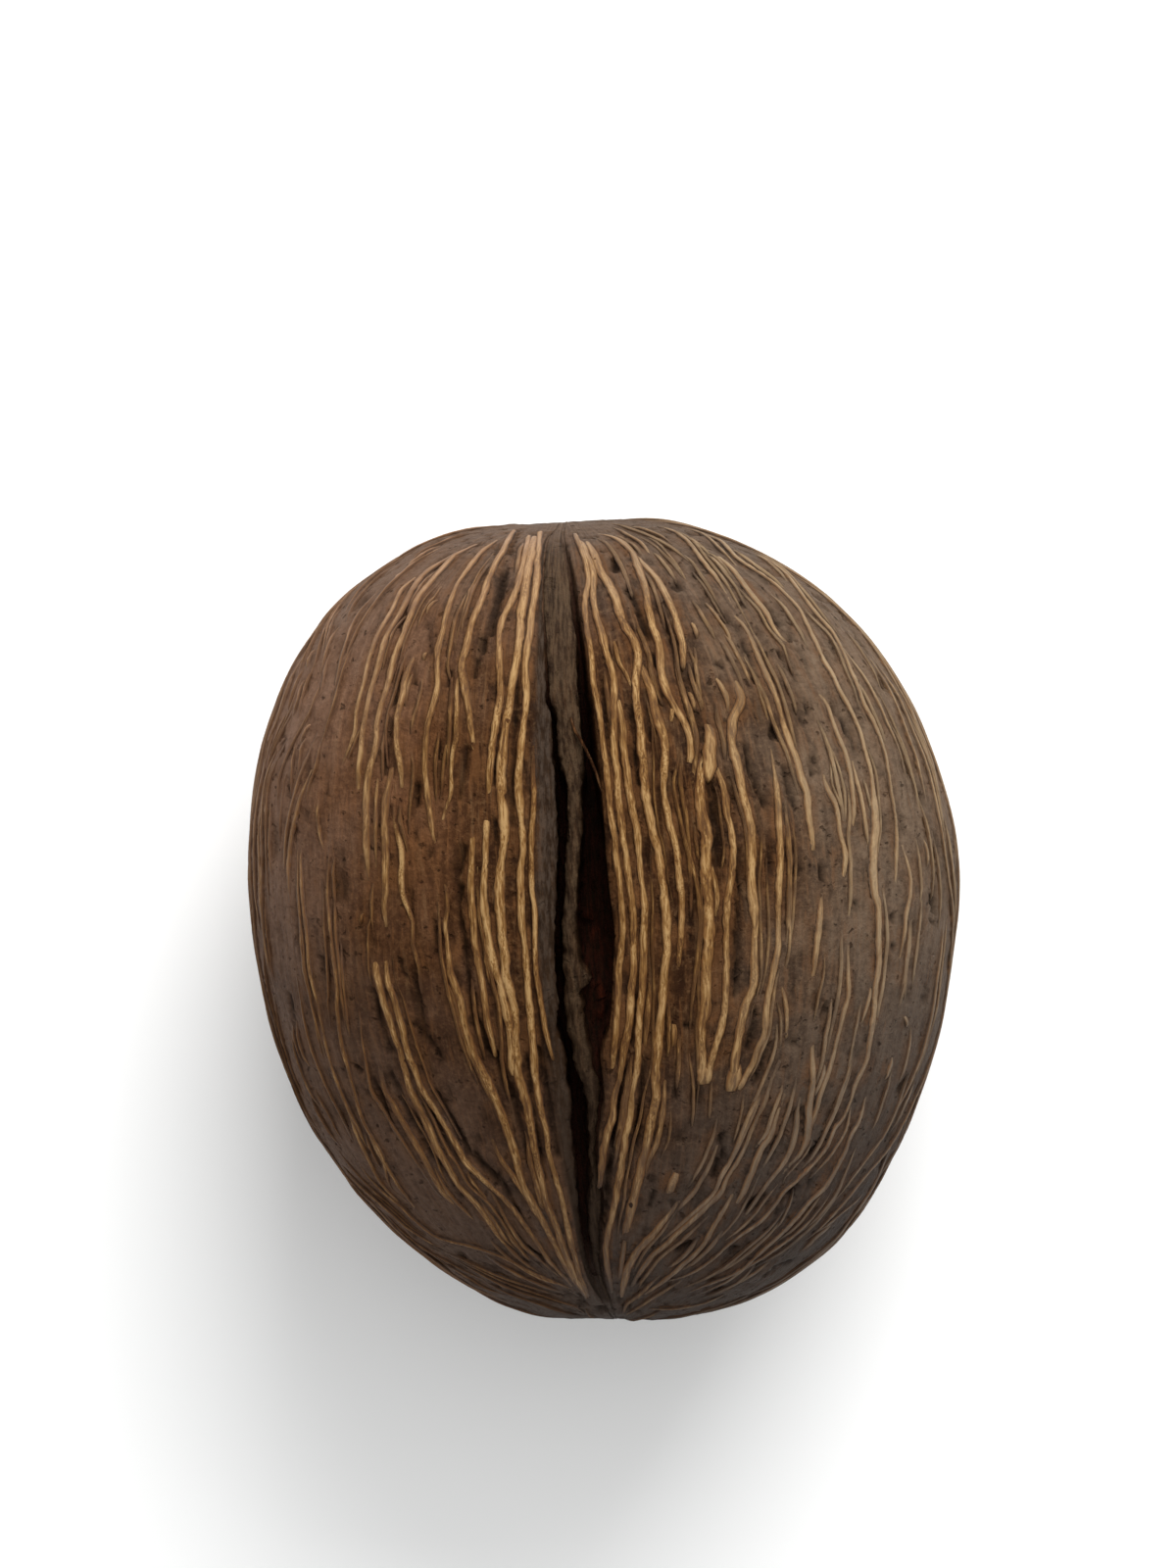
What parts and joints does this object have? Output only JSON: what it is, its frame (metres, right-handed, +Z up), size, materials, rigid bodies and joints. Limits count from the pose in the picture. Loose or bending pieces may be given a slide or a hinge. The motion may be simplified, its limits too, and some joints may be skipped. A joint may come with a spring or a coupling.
{
  "type": "fibrous fruit stone",
  "caption": "Dry corky fruit stone with raised fibres from end to end and a split furrow along its upper face; lies on a small flat spot.",
  "frame": {"origin": "under the middle of the stone's bounding box, on the surface that it rests on", "axes": "+Z up, out of the furrow; +Y along the long axis from the stem end to the top end; +X to the right, seen from above with the top end away"},
  "size_m": [0.0693, 0.0781, 0.0579],
  "materials": {
    "corky_husk": "satin, dark brown cork with tan fibres"
  },
  "bodies": {
    "root": {"stone": "corky_husk"}
  },
  "joints": []
}
